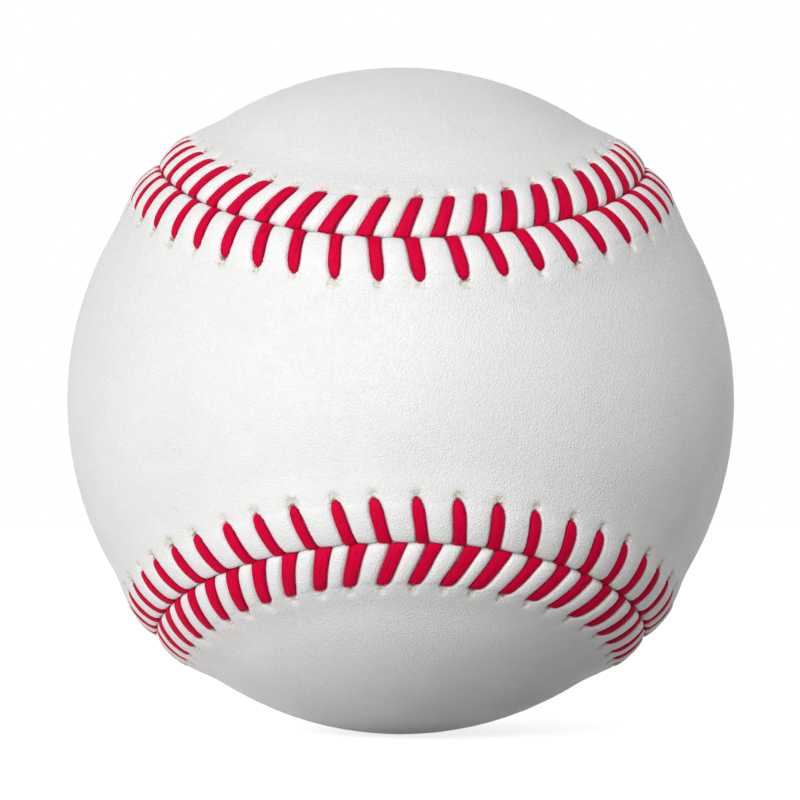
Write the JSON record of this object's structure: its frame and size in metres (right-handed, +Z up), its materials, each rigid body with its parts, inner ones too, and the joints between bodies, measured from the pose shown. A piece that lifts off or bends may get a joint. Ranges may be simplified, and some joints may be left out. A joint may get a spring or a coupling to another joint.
{
  "type": "baseball",
  "caption": "Sewn leather ball for bat and ball games, with a raised stitched seam round two interlocking cover panels.",
  "frame": {"origin": "centre of the ball", "axes": "+Z up, -Y out of the waist of the front cover panel, +X to the right when that waist faces the viewer"},
  "size_m": [0.074, 0.074, 0.0742],
  "materials": {
    "cork": "rough cork and rubber blend",
    "black_rubber": "matte",
    "red_rubber": "matte",
    "grey_wool": "wound wool yarn",
    "white_wool": "wound wool yarn",
    "poly_cotton": "fine wound yarn",
    "white_leather": "fine pebble grain",
    "red_thread": "waxed"
  },
  "bodies": {
    "root": {"cork_core": "cork", "rubber_shell_upper": "black_rubber", "rubber_shell_lower": "black_rubber", "rubber_washer": "red_rubber", "red_rubber_layer": "red_rubber", "first_winding": "grey_wool", "second_winding": "white_wool", "third_winding": "grey_wool", "fourth_winding": "poly_cotton", "front_panel": "white_leather", "back_panel": "white_leather", "front_stitches": "red_thread", "back_stitches": "red_thread"}
  },
  "joints": []
}
